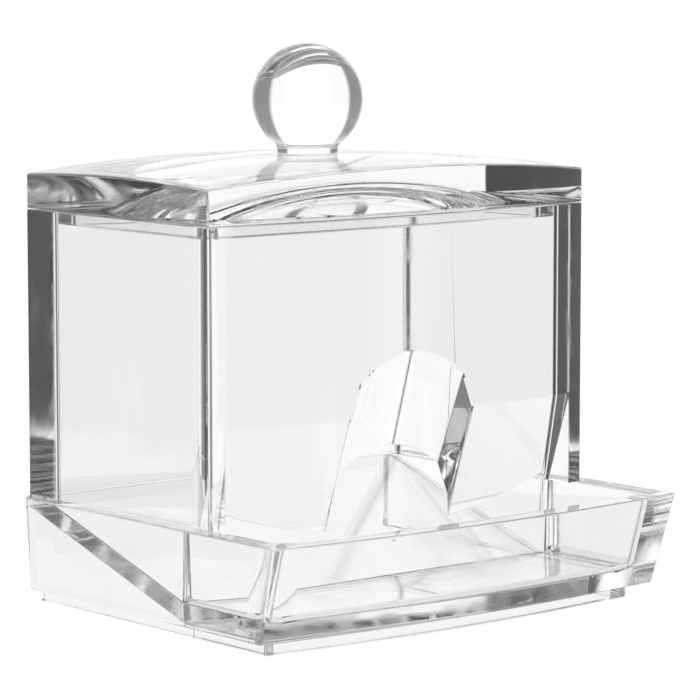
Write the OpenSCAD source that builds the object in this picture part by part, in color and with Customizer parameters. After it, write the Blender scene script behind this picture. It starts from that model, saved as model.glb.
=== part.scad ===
// Clear cotton swab dispenser: a bin with a lift-off lid stands on a base with a ramp and an open tray.
// Millimetres, +Z up, the tray faces -Y, and the origin lies under the middle of the footprint.

/* [Overall] */
// Width of the bin over its side walls
width = 90; // [84:1:110]
// Depth of the bin along its side walls
bin_depth = 55; // [50:1:70]
// How far the front face swells out in the middle
bow = 3; // [1:0.5:4]

/* [Walls] */
// Thickness of the side walls
side_wall = 3.5; // [3.2:0.1:5.5]
// Thickness of the front wall at its ends
front_wall = 4.4; // [3.6:0.1:6]
// Thickness of the back wall
back_wall = 5; // [3.4:0.1:6]
// Radius of the upright inner corners
inner_r = 3; // [1:0.5:5]

/* [Base] */
// How far the base's rim stands out beyond the bin's sides
base_ledge = 3.4; // [3:0.1:4.5]
// How far the base's sides lean in from the rim to the lower edge
base_draft = 1.1; // [0.5:0.1:1.5]
// Bevel of the base's upright back corners
base_bevel = 3.4; // [0.5:0.1:5]
// Height of the seam between the base and the bin
seam_z = 20.4; // [18:0.2:24]
// Height of the foot rim
foot_h = 2.8; // [1.5:0.1:4]
// Width of the foot rim
foot_w = 3; // [2:0.5:4]
// How far the foot rim stands in from the base's lower side edges
foot_inset = 3.7; // [2.5:0.1:4]
// How far the foot rim stands in from the back
foot_back_inset = 1.5; // [0.8:0.1:2.5]
// How far the foot rim stands behind the lower edge of the tray's front
foot_setback = 3.1; // [2:0.1:8]

/* [Tray] */
// How far the tray's rim reaches in front of the bin
tray_reach = 22.4; // [18:0.2:32]
// Thickness of the tray's front wall
tray_wall = 4.2; // [3:0.1:6]
// Thickness of the tray's side walls at the rim
tray_side_wall = 4.6; // [4:0.1:5.4]
// Where the side walls thicken, behind the bin's front corners
tray_step = 6.8; // [2:0.2:7]
// Thickness of the tray's floor
tray_floor = 3.8; // [2.5:0.1:5]
// How far the tray's front wall leans back from its rim to its lower edge
tray_lean = 5.1; // [2:0.1:8]

/* [Ramp] */
// Thickness of the ramp plate
ramp_t = 3.7; // [2.5:0.1:4.5]
// Where the ramp starts behind the bin's front corners
ramp_start = 8; // [7.5:0.5:20]
// Glue gap at the ramp's sides and under the bin's back wall
ramp_gap = 0.1; // [0.05:0.05:0.3]

/* [Bin] */
// Height of the bin's mouth
bin_top = 74; // [66:1:90]
// Height where the front face starts to slope back
knee_z = 37.7; // [34:0.1:42]
// Height of the front wall's lower edge in the middle
lip_z = 15.2; // [13:0.2:18]
// Clearance between the front wall's lower edge and the side walls of the base
lip_gap = 0.3; // [0.1:0.1:1]

/* [Finger notch] */
// Half width of the notch at its mouth
notch_half_w = 14.75; // [13:0.25:20]
// Half width where the notch's sides meet its arched floor
notch_floor_w = 12.2; // [8:0.1:12.8]
// Depth of the notch at its sides
notch_side_d = 2.35; // [1:0.05:3]
// Depth of the notch in its middle
notch_mid_d = 4; // [3.4:0.1:6]
// Slope of the notch's floor from the upright
notch_angle = 22; // [18:0.5:26]

/* [Lid] */
// Height of the lid's crown above the bin's mouth
lid_h = 9.8; // [8:0.1:14]
// Radius of the lid's domed top
dome_r = 430; // [250:10:800]
// Thickness of the lid's top
lid_t = 4; // [3.2:0.1:5]
// How far the lid's plug reaches into the bin
plug_h = 2.6; // [1.5:0.1:5]
// Thickness of the plug's wall
plug_wall = 3; // [2:0.1:4]
// Clearance between the plug and the bin
plug_gap = 0.3; // [0.2:0.05:0.8]

/* [Knob] */
// Radius of the ball
ball_r = 10.4; // [7:0.1:14]
// Radius of the neck under the ball
neck_r = 5.75; // [4:0.05:6.5]
// Height of the neck that shows
neck_h = 1.6; // [0.8:0.1:4]
// Radius of the spigot that is glued into the lid
spigot_r = 3; // [2:0.1:3.6]
// Length of the spigot
spigot_l = 2.4; // [1.5:0.1:2.8]
// Glue gap around the spigot
spigot_gap = 0.05; // [0.03:0.01:0.1]

/* [Hidden] */
$fn = 96;
bow_fn = 720;
half_w = width / 2;
inner_half_w = half_w - side_wall;
base_half_w = half_w + base_ledge;
foot_half_w = base_half_w - base_draft - foot_inset;
tray_half_w = base_half_w - tray_side_wall;
depth = tray_reach + bin_depth + bow;
tray_y = -depth / 2 + bow;
bin_y = tray_y + tray_reach;
back_y = bin_y + bin_depth;
bin_mid_y = (bin_y + back_y) / 2;
front_in_y = bin_y + front_wall;
back_in_y = back_y - back_wall;
floor_z = foot_h + tray_floor;
tray_angle = atan(tray_lean / (seam_z - foot_h));
foot_y = tray_y + tray_lean + foot_setback;
ramp_y = bin_y + ramp_start;
ramp_top_z = seam_z - ramp_gap;
ramp_angle = atan((ramp_top_z - floor_z) / (back_in_y - ramp_y));
lip_angle = atan((front_wall + bow) / (knee_z - lip_z));
crown_z = bin_top + lid_h;
ball_z = crown_z + neck_h + sqrt(ball_r * ball_r - neck_r * neck_r);
over = 1;
tall = 4 * crown_z;
clear_plastic = [0.86, 0.9, 0.92, 0.35];

// Round body whose front swells past the line through y and z, and leans back below that line
module swell(half, y, z, lean = 0, shift = 0) {
    bow_r = (half * half + bow * bow) / (2 * bow);
    translate([0, y, z]) rotate([lean, 0, 0]) translate([0, bow_r - bow + shift, 0])
        cylinder(r = bow_r, h = tall, center = true, $fn = bow_fn);
}

// Block across the width, from y0 to y1 and z0 to z1
module block(half, y0, y1, z0, z1) {
    translate([-half, y0, z0]) cube([2 * half, y1 - y0, z1 - z0]);
}

// Upright column with four round corners
module column(half, y0, y1, r, z0, z1) {
    translate([0, 0, z0]) linear_extrude(z1 - z0) union() {
        translate([-half + r, y0]) square([2 * (half - r), y1 - y0]);
        translate([-half, y0 + r]) square([2 * half, y1 - y0 - 2 * r]);
        for (x = [-half + r, half - r], y = [y0 + r, y1 - r]) translate([x, y]) circle(r);
    }
}

// Outer form of the bin and of the lid between two heights
module bin_form(z0, z1) {
    intersection() {
        block(half_w, bin_y - bow, back_y, z0, z1);
        swell(half_w, bin_y, z0);
    }
}

// Outer form of the base: leaning sides and front, bevelled back corners
module base_form() {
    low = base_half_w - base_draft;
    intersection() {
        translate([0, depth, 0]) rotate([90, 0, 0]) linear_extrude(2 * depth) polygon([
            [-low, foot_h], [low, foot_h], [base_half_w, seam_z], [-base_half_w, seam_z]]);
        translate([0, 0, foot_h]) linear_extrude(seam_z - foot_h) polygon([
            [-base_half_w, -depth], [base_half_w, -depth], [base_half_w, back_y - base_bevel],
            [base_half_w - base_bevel, back_y], [base_bevel - base_half_w, back_y],
            [-base_half_w, back_y - base_bevel]]);
        swell(base_half_w, tray_y, seam_z, tray_angle);
    }
}

// Foot rim's outline between two heights, drawn in by inset
module foot_form(inset, z0, z1) {
    intersection() {
        block(foot_half_w - inset, foot_y - bow, back_y - foot_back_inset - inset, z0, z1);
        swell(foot_half_w, foot_y, 0, 0, inset);
    }
}

module base_tray() {
    color(clear_plastic) difference() {
        union() {
            base_form();
            foot_form(0, 0, floor_z);
        }
        // trough, open above: wide in the tray and narrower between the walls that carry the bin
        intersection() {
            union() {
                column(tray_half_w, -depth, bin_y + tray_step, inner_r, floor_z, seam_z + over);
                block(inner_half_w, -depth, ramp_y + over, floor_z, seam_z + over);
            }
            swell(base_half_w, tray_y, seam_z, tray_angle, tray_wall);
        }
        // space for the ramp and under it, open below and at the back
        block(inner_half_w, ramp_y, back_y + over, -over, seam_z + over);
        // space inside the foot rim
        foot_form(foot_w, -over, foot_h);
    }
}

// Sloping plate whose level upper end carries the bin's back wall
module ramp_plate() {
    fall = ramp_t / cos(ramp_angle);
    rise = (back_y - ramp_y) * tan(ramp_angle);
    color(clear_plastic) rotate([90, 0, 90]) linear_extrude(2 * (inner_half_w - ramp_gap), center = true) polygon([
        [ramp_y, floor_z - fall], [back_y, floor_z - fall + rise], [back_y, ramp_top_z],
        [back_in_y, ramp_top_z], [ramp_y, floor_z]]);
}

// Space under the sloping lower front face, between the two side walls
module lip_undercut() {
    difference() {
        block(inner_half_w, bin_y - bow - over, front_in_y + inner_r + over, 0, knee_z);
        swell(half_w, bin_y, knee_z, lip_angle);
    }
}

// Channel that runs down and back through the front wall, with leaning sides and an arched floor
module finger_notch() {
    flare = (notch_half_w - notch_floor_w) / notch_side_d;
    sag = notch_mid_d - notch_side_d;
    arch_r = (notch_floor_w * notch_floor_w + sag * sag) / (2 * sag);
    mouth_y = bin_y - bow * (1 - pow(notch_half_w / half_w, 2));
    top_half_w = notch_half_w - flare * notch_mid_d;
    out = bow + front_wall + 3;
    translate([0, mouth_y, knee_z]) rotate([notch_angle, 0, 0])
        linear_extrude(2 * knee_z, center = true) intersection() {
            translate([0, notch_mid_d - arch_r]) circle(arch_r, $fn = bow_fn);
            polygon([
                [-notch_half_w, -out], [notch_half_w, -out], [notch_half_w, 0], [top_half_w, notch_mid_d],
                [-top_half_w, notch_mid_d], [-notch_half_w, 0]]);
        }
}

module bin_shell() {
    color(clear_plastic) difference() {
        union() {
            bin_form(seam_z, bin_top);
            // front wall's lower edge, which dips below the seam
            intersection() {
                block(inner_half_w - lip_gap, bin_y - bow, front_in_y, floor_z, seam_z + over);
                swell(half_w, bin_y, seam_z);
            }
        }
        column(inner_half_w, front_in_y, back_in_y, inner_r, 0, bin_top + over);
        lip_undercut();
        finger_notch();
    }
}

// Barrel-shaped hollow under the lid that runs out at the plug's inner faces
module lid_scoop(half, ys) {
    rise = lid_h - lid_t;
    half_y = (ys[1] - ys[0]) / 2;
    long_r = (half * half + rise * rise) / (2 * rise);
    short_r = (half_y * half_y + rise * rise) / (2 * rise);
    translate([0, (ys[0] + ys[1]) / 2, bin_top + rise - long_r]) rotate([90, 0, 0])
        rotate_extrude($fn = bow_fn) translate([long_r - short_r, 0]) circle(short_r, $fn = bow_fn);
}

module lid_cover() {
    plug_half_w = inner_half_w - plug_gap;
    plug_y = [front_in_y + plug_gap, back_in_y - plug_gap];
    hollow_half_w = plug_half_w - plug_wall;
    hollow_y = [plug_y[0] + plug_wall, plug_y[1] - plug_wall];
    color(clear_plastic) difference() {
        union() {
            intersection() {
                bin_form(bin_top, crown_z + over);
                translate([0, bin_mid_y, crown_z - dome_r]) sphere(dome_r, $fn = bow_fn);
            }
            column(plug_half_w, plug_y[0], plug_y[1], inner_r, bin_top - plug_h, bin_top + over);
        }
        column(hollow_half_w, hollow_y[0], hollow_y[1], inner_r, bin_top - plug_h - over, bin_top);
        intersection() {
            column(hollow_half_w, hollow_y[0], hollow_y[1], inner_r, bin_top - over, crown_z);
            lid_scoop(hollow_half_w, hollow_y);
        }
        translate([0, bin_mid_y, crown_z - spigot_l - spigot_gap])
            cylinder(r = spigot_r + spigot_gap, h = spigot_l + over);
    }
}

module lid_knob() {
    color(clear_plastic) translate([0, bin_mid_y, 0]) union() {
        translate([0, 0, ball_z]) sphere(ball_r);
        translate([0, 0, crown_z]) cylinder(r = neck_r, h = ball_z - crown_z);
        translate([0, 0, crown_z - spigot_l]) cylinder(r = spigot_r, h = spigot_l + over);
    }
}

base_tray();
ramp_plate();
bin_shell();
lid_cover();
lid_knob();
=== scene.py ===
"""Clear cotton swab dispenser: five pieces over the CAD frame, on a pale table before a white backdrop."""
import math

import bmesh
import bpy
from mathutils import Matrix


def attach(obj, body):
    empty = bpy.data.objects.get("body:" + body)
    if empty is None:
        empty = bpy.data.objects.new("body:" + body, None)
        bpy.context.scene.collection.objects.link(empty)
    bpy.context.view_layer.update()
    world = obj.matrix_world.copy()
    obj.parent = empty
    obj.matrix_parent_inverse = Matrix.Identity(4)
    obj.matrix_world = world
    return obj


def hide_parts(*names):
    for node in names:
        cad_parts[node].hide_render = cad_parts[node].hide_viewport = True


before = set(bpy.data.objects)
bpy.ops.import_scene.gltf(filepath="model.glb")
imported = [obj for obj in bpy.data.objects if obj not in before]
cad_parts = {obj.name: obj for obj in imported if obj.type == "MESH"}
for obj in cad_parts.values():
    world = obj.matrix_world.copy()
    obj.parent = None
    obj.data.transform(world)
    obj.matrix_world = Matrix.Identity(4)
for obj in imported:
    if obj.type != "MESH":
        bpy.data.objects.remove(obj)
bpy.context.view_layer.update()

# Sizes in metres, as in the part's source. The tray faces -Y.
MM = 0.001
HALF_W = 45 * MM
INNER_HALF_W = 41.5 * MM
BOW = 3 * MM
BASE_HALF_W = 48.4 * MM
BASE_LOW_HALF_W = 47.3 * MM
BASE_BEVEL = 3.4 * MM
TRAY_HALF_W = 43.8 * MM
TRAY_Y = -37.2 * MM
TRAY_WALL = 4.37 * MM
TRAY_LEAN = 5.1 * MM
TRAY_SLOPE = 5.1 / 17.6
TRAY_CORNER_R = 3.5 * MM
TRAY_FLOOR_R = 1.6 * MM
STEP_Y = -8 * MM
STEP_CORNER_R = 1.7 * MM
FOOT_HALF_W = 43.6 * MM
FOOT_Y = -29 * MM
FOOT_BACK_Y = 38.7 * MM
FOOT_H = 2.8 * MM
FOOT_RIM = 3 * MM
FLOOR_Z = 6.6 * MM
RAMP_Y = -6.8 * MM
RAMP_TOP_Z = 20.4 * MM
SEAM_Z = 20.4 * MM
BIN_Y = -14.8 * MM
BIN_MID_Y = 12.7 * MM
FRONT_IN_Y = -10.4 * MM
BACK_IN_Y = 35.2 * MM
BACK_Y = 40.2 * MM
KNEE_Z = 37.7 * MM
LIP_SLOPE = 7.4 / 22.5
BIN_TOP = 74 * MM
INNER_R = 3 * MM
CROWN_Z = 83.8 * MM
DOME_R = 430 * MM
PLUG_HALF_W = 41.2 * MM
PLUG_DROP = 2.6 * MM
PLUG_GAP = 0.3 * MM
PLUG_WALL = 3 * MM

# SEAM_GAP parts the lid from the bin. BOND sinks the bin into the base, so that the bonded seam stays clear.
SEAM_GAP = 0.06 * MM
BOND = 0.02 * MM

# Modelling: STRIP is the width of the strips that let a face swell. END_ROOM keeps them off its ends, and
# CORNER_ROOM off a corner that is rounded later. OVER is how far a tool reaches past the piece, FLAT is how
# squarely a face looks along an axis to be picked, and SHARP is the least angle of an edge to be rounded.
STRIP = 2.5 * MM
END_ROOM = 1.2 * MM
CORNER_ROOM = 3.6 * MM
OVER = 2 * MM
FLAT = 0.9
SHARP = math.radians(14)
CUT_ROOM = 0.0001 * MM
WELD_ROOM = 0.003 * MM

# Stage
VIEW_YAW = math.radians(40)
VIEW_PITCH = math.radians(6.79)
CAMERA_PLACE = (-0.428, -0.5098, 0.127)
LIGHT_YAW = math.radians(36)
WHITE = (1, 1, 1, 1)


# Helpers for modelling

def leave_all():
    if bpy.context.object and bpy.context.object.mode != "OBJECT":
        bpy.ops.object.mode_set(mode="OBJECT")
    bpy.ops.object.select_all(action="DESELECT")


def take(piece):
    leave_all()
    piece.select_set(True)
    bpy.context.view_layer.objects.active = piece


def edit(piece):
    take(piece)
    bpy.ops.object.mode_set(mode="EDIT")
    bpy.ops.mesh.select_mode(type="VERT")
    bpy.ops.mesh.select_all(action="DESELECT")


def done():
    bpy.ops.object.mode_set(mode="OBJECT")


def pick(piece, kind, test):
    """Selects, in edit mode, the points, edges or faces that pass the test."""
    bpy.ops.mesh.select_mode(type=kind)
    bpy.ops.mesh.select_all(action="DESELECT")
    form = bmesh.from_edit_mesh(piece.data)
    for part in {"VERT": form.verts, "EDGE": form.edges, "FACE": form.faces}[kind]:
        part.select = test(part)
    form.select_flush_mode()
    bmesh.update_edit_mesh(piece.data)


def pick_points(piece, test):
    pick(piece, "VERT", lambda point: test(point.co))


def pick_edges(piece, test, least_turn=-1):
    """Picks the edges whose two ends pass the test and whose faces meet at more than least_turn."""
    pick(piece, "EDGE", lambda edge: edge.calc_face_angle(0) > least_turn
         and test(edge.verts[0].co, edge.verts[1].co))


def pick_faces(piece, test):
    pick(piece, "FACE", lambda face: test(face.calc_center_median(), face.normal))


def near(a, b, room=0.01 * MM):
    return abs(a - b) < room


def block(name, low, high):
    """Cube stretched between two corners, its place in its mesh."""
    leave_all()
    middle = [(a + b) / 2 for a, b in zip(low, high)]
    bpy.ops.mesh.primitive_cube_add(size=1, location=middle)
    piece = bpy.context.object
    piece.name = name
    piece.scale = [b - a for a, b in zip(low, high)]
    bpy.ops.object.transform_apply(location=True, rotation=True, scale=True)
    return piece


def slice_across(piece, axis, places):
    """Cuts the piece into strips along one axis, so that its faces can swell."""
    normal = [0, 0, 0]
    normal[axis] = 1
    edit(piece)
    for place in places:
        spot = [0, 0, 0]
        spot[axis] = place
        bpy.ops.mesh.select_all(action="SELECT")
        bpy.ops.mesh.bisect(plane_co=spot, plane_no=normal, threshold=CUT_ROOM)
    done()


def strips(half, step=STRIP, margin=END_ROOM):
    """Places of the strips between -half and half, clear of both ends by margin."""
    count = int((half - margin) / step)
    return [step * i for i in range(-count, count + 1)]


def strips_about(middle, half, step=STRIP, margin=END_ROOM):
    """The same on both sides of a middle."""
    return [middle + place for place in strips(half, step, margin)]


def swell(x, half=HALF_W):
    """How far a bowed front of this half width stands out at x."""
    return BOW * (1 - (x / half) ** 2)


def push_front(piece, places, front, shift):
    """Moves the points of the face at Y front, strip by strip, by shift(x, upper) along Y."""
    edit(piece)
    heights = [v.co.z for v in bmesh.from_edit_mesh(piece.data).verts]
    middle_z = (min(heights) + max(heights)) / 2
    for x in places:
        for upper in (False, True):
            pick_points(piece, lambda p: near(p.x, x) and near(p.y, front) and (p.z > middle_z) == upper)
            bpy.ops.transform.translate(value=(0, shift(x, upper), 0))
    done()


def bowed_block(name, low, high, shift, front, margin=END_ROOM):
    """Block, even about X, whose face at Y front is pushed in strips by shift(x, upper)."""
    half = high[0]
    inner = strips(half, margin=margin)
    piece = block(name, low, high)
    slice_across(piece, 0, inner)
    push_front(piece, [-half] + inner + [half], front, shift)
    return piece


def round_edges(piece, test, radius, segments=8, least_turn=-1):
    edit(piece)
    pick_edges(piece, test, least_turn)
    bpy.ops.mesh.bevel(offset=radius, segments=segments, affect="EDGES", clamp_overlap=False)
    done()


def upright_at(xs, ys):
    """Picks the upright edges that stand at these places."""
    def test(a, b):
        upright = near(a.x, b.x) and near(a.y, b.y) and not near(a.z, b.z)
        return upright and any(near(abs(a.x), x) for x in xs) and any(near(a.y, y) for y in ys)
    return test


def level_at(z):
    """Picks the edges that lie at this height."""
    return lambda a, b: near(a.z, z) and near(b.z, z)


def combine(piece, tool, how):
    take(piece)
    step = piece.modifiers.new("combine", "BOOLEAN")
    step.operation = how
    step.solver = "EXACT"
    step.object = tool
    bpy.ops.object.modifier_apply(modifier=step.name)
    bpy.data.objects.remove(tool)


def cut(piece, tool):
    combine(piece, tool, "DIFFERENCE")


def add(piece, tool):
    combine(piece, tool, "UNION")


def even_shading(piece, keep_sharp):
    even = piece.modifiers.new("even shading", "WEIGHTED_NORMAL")
    even.keep_sharp = keep_sharp
    bpy.ops.object.modifier_apply(modifier=even.name)


def soften(piece, width, sharp_z=None):
    """Rounds the sharp edges, save those at sharp_z, and keeps the large faces evenly shaded."""
    edit(piece)
    bpy.ops.mesh.select_all(action="SELECT")
    bpy.ops.mesh.remove_doubles(threshold=WELD_ROOM)
    bpy.ops.mesh.dissolve_degenerate(threshold=WELD_ROOM)
    form = bmesh.from_edit_mesh(piece.data)
    weight = form.edges.layers.float.new("bevel_weight_edge")
    for edge in form.edges:
        bonded = sharp_z is not None and all(near(v.co.z, sharp_z) for v in edge.verts)
        edge[weight] = 1.0 if edge.calc_face_angle(0) > SHARP and not bonded else 0.0
        edge.smooth = not bonded
    bmesh.update_edit_mesh(piece.data)
    done()
    take(piece)
    for face in piece.data.polygons:
        face.use_smooth = True
    edges = piece.modifiers.new("edges", "BEVEL")
    edges.width = width
    edges.segments = 3
    edges.limit_method = "WEIGHT"
    edges.use_clamp_overlap = False
    edges.miter_outer = "MITER_ARC"
    bpy.ops.object.modifier_apply(modifier=edges.name)
    even_shading(piece, keep_sharp=True)


# Base with the open tray

def make_base_tray():
    piece = bowed_block(
        "clear_base_tray", (-BASE_HALF_W, TRAY_Y, FOOT_H), (BASE_HALF_W, BACK_Y, SEAM_Z),
        lambda x, upper: -swell(x, BASE_HALF_W) + (0 if upper else TRAY_LEAN), TRAY_Y)
    round_edges(piece, upright_at([BASE_HALF_W], [BACK_Y]), BASE_BEVEL, segments=1)
    edit(piece)
    pick_points(piece, lambda p: near(p.z, FOOT_H))
    lean_in = BASE_LOW_HALF_W / BASE_HALF_W
    bpy.ops.transform.resize(value=(lean_in, 1, 1), center_override=(0, 0, 0))
    done()

    def foot_bow(x, upper):
        return -swell(x, FOOT_HALF_W)

    sunk = 0.6 * MM
    add(piece, bowed_block(
        "foot", (-FOOT_HALF_W, FOOT_Y, 0), (FOOT_HALF_W, FOOT_BACK_Y, FOOT_H + sunk), foot_bow, FOOT_Y))
    inside_half = FOOT_HALF_W - FOOT_RIM
    inside_y = FOOT_Y + FOOT_RIM
    cut(piece, bowed_block(
        "foot_inside", (-inside_half, inside_y, -OVER), (inside_half, FOOT_BACK_Y - FOOT_RIM, FOOT_H),
        foot_bow, inside_y))
    cut(piece, make_trough_tool())
    soften(piece, 0.35 * MM)
    return piece


def make_trough_tool():
    """Space in the base: the wide tray, the narrower part under the bin and the way out under the ramp."""
    top = SEAM_Z + OVER
    wall_y = TRAY_Y + TRAY_WALL
    tool = bowed_block(
        "trough", (-TRAY_HALF_W, wall_y, FLOOR_Z), (TRAY_HALF_W, STEP_Y, top),
        lambda x, upper: -swell(x, BASE_HALF_W) + (SEAM_Z - (top if upper else FLOOR_Z)) * TRAY_SLOPE,
        wall_y, CORNER_ROOM)

    # narrower from the step to past the back
    outermost = strips(TRAY_HALF_W, margin=CORNER_ROOM)[-1]
    slack = 0.1 * MM
    edit(tool)
    pick_faces(tool, lambda c, n: n.y > FLAT and abs(c.x) < outermost)
    bpy.ops.mesh.extrude_region_move(TRANSFORM_OT_translate={"value": (0, BACK_Y + OVER - STEP_Y, 0)})
    for side in (-1, 1):
        pick_points(tool, lambda p: near(p.x, side * outermost) and p.y > STEP_Y - slack)
        bpy.ops.transform.translate(value=(side * (INNER_HALF_W - outermost), 0, 0))
    done()

    # open below, under the ramp
    slice_across(tool, 1, [RAMP_Y])
    edit(tool)
    pick_faces(tool, lambda c, n: n.z < -FLAT and c.y > RAMP_Y)
    bpy.ops.mesh.extrude_region_move(TRANSFORM_OT_translate={"value": (0, 0, -FLOOR_Z - OVER)})
    done()

    halfway_y = -20 * MM
    round_edges(tool, lambda a, b: near(abs(a.x), TRAY_HALF_W) and near(a.x, b.x)
                and not near(a.z, b.z) and a.y < halfway_y and b.y < halfway_y, TRAY_CORNER_R)
    round_edges(tool, upright_at([TRAY_HALF_W], [STEP_Y]), STEP_CORNER_R)
    on_floor = level_at(FLOOR_Z)
    round_edges(tool, lambda a, b: on_floor(a, b) and max(a.y, b.y) < STEP_Y + slack, TRAY_FLOOR_R,
                least_turn=0.3)
    return tool


# Sloping plate that rolls the swabs forward

def make_ramp_plate():
    """Plate sloping down to the tray, its level upper end under the bin's back wall."""
    half = 41.4 * MM
    glue = 0.05 * MM
    low_z = FLOOR_Z - 3.89 * MM
    climb = RAMP_TOP_Z - FLOOR_Z
    slope = climb / (BACK_IN_Y - RAMP_Y)
    piece = block("clear_ramp_plate", (-half, RAMP_Y + glue, low_z), (half, BACK_Y, FLOOR_Z))
    slice_across(piece, 1, [BACK_IN_Y])
    edit(piece)
    for y, z, lift in (
            (BACK_IN_Y, FLOOR_Z, climb),
            (BACK_Y, FLOOR_Z, climb),
            (BACK_IN_Y, low_z, climb),
            (BACK_Y, low_z, slope * (BACK_Y - RAMP_Y))):
        pick_points(piece, lambda p: near(p.y, y) and near(p.z, z))
        bpy.ops.transform.translate(value=(0, 0, lift))
    done()
    soften(piece, 0.3 * MM)
    return piece


# Bin with the finger notch

def make_bin_shell():
    low_z = SEAM_Z - BOND
    piece = bowed_block(
        "clear_bin_shell", (-HALF_W, BIN_Y, low_z), (HALF_W, BACK_Y, BIN_TOP - SEAM_GAP),
        lambda x, upper: -swell(x), BIN_Y)

    # the front wall reaches down between the base's side walls
    skirt_half = 41.2 * MM
    skirt_low = (-skirt_half, BIN_Y + 0.8 * MM, 14 * MM)
    skirt_high = (skirt_half, FRONT_IN_Y + 0.4 * MM, SEAM_Z + 0.5 * MM)
    add(piece, block("skirt", skirt_low, skirt_high))

    # the lower front slopes back between the side walls
    under_z = 5 * MM
    over_z = 60 * MM
    cut(piece, bowed_block(
        "under", (-INNER_HALF_W, -45 * MM, under_z), (INNER_HALF_W, BIN_Y, over_z),
        lambda x, upper: -swell(x) + (KNEE_Z - (over_z if upper else under_z)) * LIP_SLOPE, BIN_Y))
    cut(piece, make_notch_tool())

    inside = block(
        "inside", (-INNER_HALF_W, FRONT_IN_Y, under_z), (INNER_HALF_W, BACK_IN_Y, BIN_TOP + 5 * MM))
    slice_across(inside, 0, strips(INNER_HALF_W, margin=CORNER_ROOM))
    round_edges(inside, upright_at([INNER_HALF_W], [FRONT_IN_Y, BACK_IN_Y]), INNER_R)
    cut(piece, inside)
    soften(piece, 0.3 * MM, sharp_z=low_z)
    return piece


def make_notch_tool():
    """Channel with leaning sides and an arched floor, tilted down and back."""
    half = 14.75 * MM
    floor_half = 12.2 * MM
    middle_depth = 4 * MM
    arch_r = 45.9 * MM
    tilt = math.radians(22)
    edges_a_side = 11
    places = [floor_half * (2 * i + 1) / (2 * edges_a_side - 1) for i in range(-edges_a_side, edges_a_side)]
    tool = block("notch", (-half, -14 * MM, -60 * MM), (half, 0, 40 * MM))
    slice_across(tool, 0, places)
    edit(tool)
    for x in places:
        pick_points(tool, lambda p: near(p.x, x) and near(p.y, 0))
        depth = middle_depth - arch_r + math.sqrt(arch_r ** 2 - x ** 2)
        bpy.ops.transform.translate(value=(0, depth, 0))
    done()
    tool.rotation_euler = (tilt, 0, 0)
    tool.location = (0, BIN_Y - swell(half), KNEE_Z)
    take(tool)
    bpy.ops.object.transform_apply(location=True, rotation=True, scale=True)
    return tool


# Lift-off lid

def bend_top(piece, low_z, xs, ys, drop_x, drop_y):
    """Lowers the points above low_z, strip by strip, by drop_x at each x and drop_y at each y."""
    edit(piece)
    for x in xs:
        pick_points(piece, lambda p: near(p.x, x) and p.z > low_z)
        bpy.ops.transform.translate(value=(0, 0, -drop_x(x)))
    for y in ys:
        pick_points(piece, lambda p: near(p.y, y) and p.z > low_z)
        bpy.ops.transform.translate(value=(0, 0, -drop_y(y)))
    done()


def make_lid_cover():
    xs = [-HALF_W] + strips(HALF_W) + [HALF_W]
    ys = [BIN_Y + STRIP * i for i in range(22)] + [BACK_Y]
    piece = block("clear_lid_cover", (-HALF_W, BIN_Y, BIN_TOP + SEAM_GAP), (HALF_W, BACK_Y, CROWN_Z))
    slice_across(piece, 0, xs[1:-1])
    slice_across(piece, 1, ys[1:-1])
    bend_top(piece, CROWN_Z - 8 * MM, xs, ys,
             lambda x: x ** 2 / (2 * DOME_R), lambda y: (y - BIN_MID_Y) ** 2 / (2 * DOME_R))
    push_front(piece, xs, BIN_Y, lambda x, upper: -swell(x))

    plug_y = (FRONT_IN_Y + PLUG_GAP, BACK_IN_Y - PLUG_GAP)
    plug = block(
        "plug", (-PLUG_HALF_W, plug_y[0], BIN_TOP - PLUG_DROP), (PLUG_HALF_W, plug_y[1], BIN_TOP + MM))
    round_edges(plug, upright_at([PLUG_HALF_W], plug_y), INNER_R)
    add(piece, plug)

    # flat recess inside the plug, in strips so that its floor is no ring, and above it a scoop
    half = PLUG_HALF_W - PLUG_WALL
    front = plug_y[0] + PLUG_WALL
    back = plug_y[1] - PLUG_WALL
    recess = block("recess", (-half, front, BIN_TOP - 8 * MM), (half, back, BIN_TOP))
    slice_across(recess, 0, strips(half, margin=CORNER_ROOM))
    slice_across(recess, 1, strips_about(BIN_MID_Y, back - BIN_MID_Y, margin=CORNER_ROOM))
    round_edges(recess, upright_at([half], (front, back)), INNER_R)
    cut(piece, recess)
    shelf = 0.2 * MM
    cut(piece, make_scoop_tool(half - shelf, front + shelf, back - shelf))
    soften(piece, 0.4 * MM)
    return piece


def make_scoop_tool(half, front, back):
    """Barrel-shaped hollow with an oval edge, bent more from front to back than along."""
    rise = 5.8 * MM
    reach = 0.1 * MM
    middle = (front + back) / 2
    half_y = (back - front) / 2
    long_r = (half ** 2 + rise ** 2) / (2 * rise)
    short_r = (half_y ** 2 + rise ** 2) / (2 * rise)
    xs = [-half - reach] + strips(half, 2 * MM) + [half + reach]
    ys = [front - reach] + strips_about(middle, half_y, 1.5 * MM) + [back + reach]
    tool = block("scoop", (xs[0], ys[0], BIN_TOP - 8 * MM), (xs[-1], ys[-1], BIN_TOP + rise))
    slice_across(tool, 0, xs[1:-1])
    slice_across(tool, 1, ys[1:-1])
    bend_top(tool, BIN_TOP - 7 * MM, xs, ys,
             lambda x: long_r - math.sqrt(long_r ** 2 - x ** 2),
             lambda y: short_r - math.sqrt(short_r ** 2 - (y - middle) ** 2))
    return tool


# Ball knob with its neck

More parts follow.
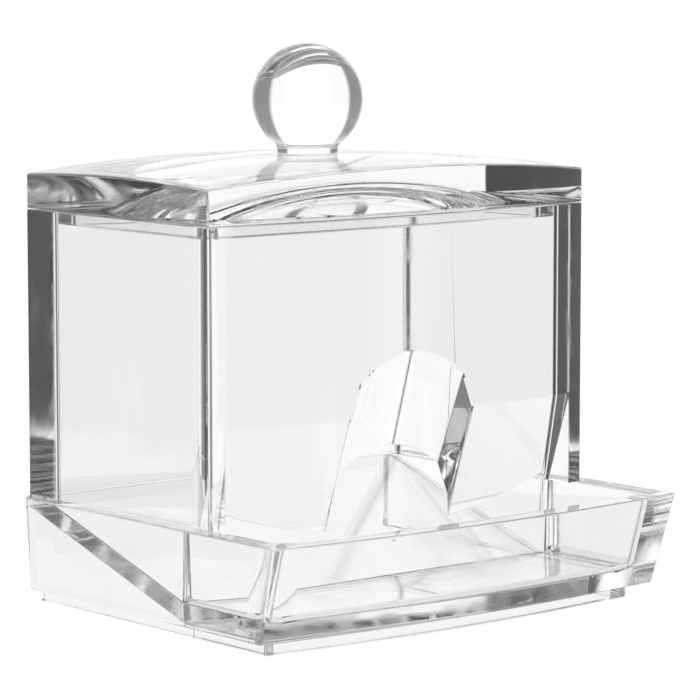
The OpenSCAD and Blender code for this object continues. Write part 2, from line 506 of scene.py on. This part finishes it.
def make_lid_knob():
    ball_r = 10.4 * MM
    neck_r = 5.75 * MM
    ball_z = 94.066 * MM
    glue = 0.05 * MM
    neck_z = ball_z - math.sqrt(ball_r ** 2 - neck_r ** 2)
    foot_z = CROWN_Z + glue
    leave_all()
    bpy.ops.mesh.primitive_uv_sphere_add(
        segments=96, ring_count=64, radius=ball_r, location=(0, BIN_MID_Y, ball_z))
    piece = bpy.context.object
    piece.name = "clear_lid_knob"
    bpy.ops.object.transform_apply(location=True, rotation=True, scale=True)

    # without the rings next to the neck, its rounding has room
    ring_low = neck_z - 0.1 * MM
    ring_high = neck_z + 0.95 * MM
    edit(piece)
    pick_edges(piece, lambda a, b: near(a.z, b.z) and ring_low < a.z < ring_high)
    bpy.ops.mesh.dissolve_edges()
    bpy.ops.mesh.select_all(action="SELECT")
    bpy.ops.mesh.bisect(plane_co=(0, BIN_MID_Y, neck_z), plane_no=(0, 0, 1), clear_inner=True, use_fill=True,
                        threshold=CUT_ROOM)
    bpy.ops.mesh.select_mode(type="FACE")
    bpy.ops.mesh.extrude_region_move(TRANSFORM_OT_translate={"value": (0, 0, foot_z - neck_z)})
    done()
    round_edges(piece, level_at(neck_z), 0.7 * MM, segments=5)
    round_edges(piece, level_at(foot_z), 0.25 * MM, segments=3)
    take(piece)
    bpy.ops.object.shade_smooth()
    even_shading(piece, keep_sharp=False)
    return piece


# Helpers for shader nodes

def empty_material(name):
    """New material with no nodes but its output: the material, its nodes, its link function, the output."""
    material = bpy.data.materials.new(name)
    material.use_nodes = True
    tree = material.node_tree
    tree.nodes.clear()
    return material, tree.nodes, tree.links.new, tree.nodes.new("ShaderNodeOutputMaterial")


def value_range(nodes, low, high, start=0.0, end=1.0, kind="SMOOTHSTEP"):
    """Node that goes from start, for a value of low or less, to end, for high or more."""
    node = nodes.new("ShaderNodeMapRange")
    node.interpolation_type = kind
    for name, value in (("From Min", low), ("From Max", high), ("To Min", start), ("To Max", end)):
        node.inputs[name].default_value = value
    return node


def math_node(nodes, kind, operation):
    node = nodes.new(kind)
    node.operation = operation
    return node


def colour_mix(nodes, second):
    """Node that mixes a colour with a second one, by its factor."""
    node = nodes.new("ShaderNodeMix")
    node.data_type = "RGBA"
    node.inputs["B"].default_value = second
    return node


def noise(nodes, detail, roughness, distortion=0.0):
    node = nodes.new("ShaderNodeTexNoise")
    node.inputs["Detail"].default_value = detail
    node.inputs["Roughness"].default_value = roughness
    node.inputs["Distortion"].default_value = distortion
    return node


# Materials

def make_moulded_group():
    """Faint unevenness of a polished moulding: flow waves and a patchy film of handling."""
    group = bpy.data.node_groups.new("moulded_surface", "ShaderNodeTree")
    for name in ("Wave Scale", "Smudge Scale", "Dullness"):
        group.interface.new_socket(name, in_out="INPUT", socket_type="NodeSocketFloat")
    for name, kind in (
            ("Colour", "NodeSocketColor"),
            ("Roughness", "NodeSocketFloat"),
            ("Height", "NodeSocketFloat")):
        group.interface.new_socket(name, in_out="OUTPUT", socket_type=kind)
    nodes = group.nodes
    link = group.links.new
    take_in = nodes.new("NodeGroupInput")
    give = nodes.new("NodeGroupOutput")
    coords = nodes.new("ShaderNodeTexCoord")

    waves = noise(nodes, 1.5, 0.4)
    link(coords.outputs["Object"], waves.inputs["Vector"])
    link(take_in.outputs["Wave Scale"], waves.inputs["Scale"])
    link(waves.outputs["Fac"], give.inputs["Height"])

    smudge = noise(nodes, 5, 0.6, 0.5)
    link(coords.outputs["Object"], smudge.inputs["Vector"])
    link(take_in.outputs["Smudge Scale"], smudge.inputs["Scale"])

    polished = 0.004
    film = value_range(nodes, 0.45, 0.75, polished)
    link(smudge.outputs["Fac"], film.inputs["Value"])
    link(take_in.outputs["Dullness"], film.inputs["To Max"])
    link(film.outputs["Result"], give.inputs["Roughness"])

    tint = colour_mix(nodes, (0.982, 0.987, 0.988, 1))
    tint.inputs["A"].default_value = WHITE
    link(smudge.outputs["Fac"], tint.inputs["Factor"])
    link(tint.outputs["Result"], give.inputs["Colour"])
    return group


def make_clear_plastic(name, group, wave_scale, wave_depth, smudge_scale, dullness):
    """Clear plastic with its own waves (scale per metre, depth in metres) and its own film of handling."""
    material, nodes, link, out = empty_material(name)
    clear = nodes.new("ShaderNodeBsdfPrincipled")
    clear.inputs["Metallic"].default_value = 0
    clear.inputs["Transmission Weight"].default_value = 1
    clear.inputs["IOR"].default_value = 1.49
    surface = nodes.new("ShaderNodeGroup")
    surface.node_tree = group
    surface.inputs["Wave Scale"].default_value = wave_scale
    surface.inputs["Smudge Scale"].default_value = smudge_scale
    surface.inputs["Dullness"].default_value = dullness
    bump = nodes.new("ShaderNodeBump")
    bump.inputs["Strength"].default_value = 0.3
    bump.inputs["Distance"].default_value = wave_depth
    link(surface.outputs["Height"], bump.inputs["Height"])
    link(bump.outputs["Normal"], clear.inputs["Normal"])
    link(surface.outputs["Colour"], clear.inputs["Base Color"])
    link(surface.outputs["Roughness"], clear.inputs["Roughness"])
    link(clear.outputs["BSDF"], out.inputs["Surface"])
    return material


# Stage: floor that glows with painted light, soft light and the camera

def make_floor():
    """Pale table that glows with painted light: white to the camera, and bright at a low angle, a painted
    reflection of the backdrop.

    From above it is pale through a few walls, and dark at the end of a long path through the plastic, a
    painted shade.
    """
    leave_all()
    bpy.ops.mesh.primitive_circle_add(vertices=128, radius=0.17, fill_type="NGON", location=(0, 0, -0.0002))
    floor = bpy.context.object
    floor.name = "floor"
    bpy.ops.object.transform_apply(location=True, rotation=True, scale=True)
    # The floor glows, though it is no lamp: its light and shade are painted.
    material, nodes, link, out = empty_material("floor_painted_light")
    glow = nodes.new("ShaderNodeEmission")
    angle = nodes.new("ShaderNodeLayerWeight")
    path = nodes.new("ShaderNodeLightPath")
    # painted reflection of the backdrop at a low angle, painted shade seen from above
    painted_light_by_angle = value_range(nodes, 0.64, 0.8, 0.08, 0.92)
    # painted light through a few walls, painted shade at the end of a long path through the plastic
    painted_light_by_path = value_range(nodes, 5.4, 5.6, 0.8, 0, "LINEAR")
    paler = math_node(nodes, "ShaderNodeMath", "MAXIMUM")
    seen = math_node(nodes, "ShaderNodeMath", "MAXIMUM")
    link(angle.outputs["Facing"], painted_light_by_angle.inputs["Value"])
    link(path.outputs["Ray Depth"], painted_light_by_path.inputs["Value"])
    link(painted_light_by_angle.outputs["Result"], paler.inputs[0])
    link(painted_light_by_path.outputs["Result"], paler.inputs[1])
    link(paler.outputs["Value"], seen.inputs[0])
    link(path.outputs["Is Camera Ray"], seen.inputs[1])
    link(seen.outputs["Value"], glow.inputs["Strength"])
    link(glow.outputs["Emission"], out.inputs["Surface"])
    floor.data.materials.append(material)


def make_backdrop(nodes):
    """Brightness all round: pale behind the camera (0), dark to the sides and white ahead of it (1)."""
    def grey(value):
        return (value, value, value, 1)

    ramp = nodes.new("ShaderNodeValToRGB")
    stops = ramp.color_ramp.elements
    stops[0].color = grey(0.85)
    stops[1].color = WHITE
    for position, value in (
            (0.165, 0.85), (0.25, 0.05), (0.62, 0.05), (0.75, 0.2), (0.905, 0.26), (0.929, 1.0)):
        stops.new(position).color = grey(value)
    return ramp


def make_world():
    """Soft light from the backdrop and from above. The camera itself sees plain white."""
    world = bpy.data.worlds.new("studio")
    bpy.context.scene.world = world
    world.use_nodes = True
    nodes = world.node_tree.nodes
    link = world.node_tree.links.new
    nodes.clear()
    out = nodes.new("ShaderNodeOutputWorld")
    light = nodes.new("ShaderNodeBackground")
    light.inputs["Strength"].default_value = 1.02
    coords = nodes.new("ShaderNodeTexCoord")
    path = nodes.new("ShaderNodeLightPath")

    # how nearly a direction, on the compass, points ahead
    level = math_node(nodes, "ShaderNodeVectorMath", "MULTIPLY")
    level.inputs[1].default_value = (1, 1, 0)
    compass = math_node(nodes, "ShaderNodeVectorMath", "NORMALIZE")
    ahead = math_node(nodes, "ShaderNodeVectorMath", "DOT_PRODUCT")
    ahead.inputs[1].default_value = (math.sin(LIGHT_YAW), math.cos(LIGHT_YAW), 0)
    share = value_range(nodes, -1, 1, kind="LINEAR")
    backdrop = make_backdrop(nodes)
    link(coords.outputs["Generated"], level.inputs[0])
    link(level.outputs["Vector"], compass.inputs[0])
    link(compass.outputs["Vector"], ahead.inputs[0])
    link(ahead.outputs["Value"], share.inputs["Value"])
    link(share.outputs["Result"], backdrop.inputs["Fac"])

    # white overhead, and a little brighter from just above the table
    height = nodes.new("ShaderNodeSeparateXYZ")
    above = value_range(nodes, 0.5, 0.95)
    overhead = colour_mix(nodes, WHITE)
    lift = value_range(nodes, 0.02, 0.1, 1.0, 1.08)
    glow = math_node(nodes, "ShaderNodeVectorMath", "SCALE")
    link(coords.outputs["Generated"], height.inputs["Vector"])
    link(height.outputs["Z"], above.inputs["Value"])
    link(above.outputs["Result"], overhead.inputs["Factor"])
    link(backdrop.outputs["Color"], overhead.inputs["A"])
    link(height.outputs["Z"], lift.inputs["Value"])
    link(overhead.outputs["Result"], glow.inputs[0])
    link(lift.outputs["Result"], glow.inputs["Scale"])

    seen = colour_mix(nodes, WHITE)
    link(path.outputs["Is Camera Ray"], seen.inputs["Factor"])
    link(glow.outputs["Vector"], seen.inputs["A"])
    link(seen.outputs["Result"], light.inputs["Color"])
    link(light.outputs["Background"], out.inputs["Surface"])


def make_camera():
    data = bpy.data.cameras.new("photo_view")
    data.lens = 185.14
    data.sensor_width = 36
    data.clip_start = 0.01
    camera = bpy.data.objects.new("photo_view", data)
    camera.location = CAMERA_PLACE
    camera.rotation_euler = (math.radians(90) - VIEW_PITCH, 0, -VIEW_YAW)
    bpy.context.scene.collection.objects.link(camera)
    bpy.context.scene.camera = camera


# Enough bounces for the thick corners. The longest paths still end dark, as in the photo.
scene = bpy.context.scene
scene.view_settings.view_transform = "Standard"
scene.cycles.max_bounces = 26
scene.cycles.transmission_bounces = 26
scene.cycles.glossy_bounces = 24

surface = make_moulded_group()
bin_plastic = make_clear_plastic("clear_bin_plastic", surface, 35, 0.00008, 70, 0.11)
base_plastic = make_clear_plastic("clear_base_plastic", surface, 40, 0.0003, 80, 0.18)
lid_plastic = make_clear_plastic("clear_lid_plastic", surface, 24, 0.0002, 60, 0.24)
knob_plastic = make_clear_plastic("clear_knob_plastic", surface, 40, 0.00003, 90, 0.02)

for make, node, body, plastic in (
        (make_base_tray, "base_tray", "dispenser", base_plastic),
        (make_ramp_plate, "ramp_plate", "dispenser", base_plastic),
        (make_bin_shell, "bin_shell", "dispenser", bin_plastic),
        (make_lid_cover, "lid_cover", "lid", lid_plastic),
        (make_lid_knob, "lid_knob", "lid", knob_plastic)):
    piece = make()
    piece.data.materials.clear()
    piece.data.materials.append(plastic)
    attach(piece, body)
    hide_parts(node)

make_floor()
make_world()
make_camera()
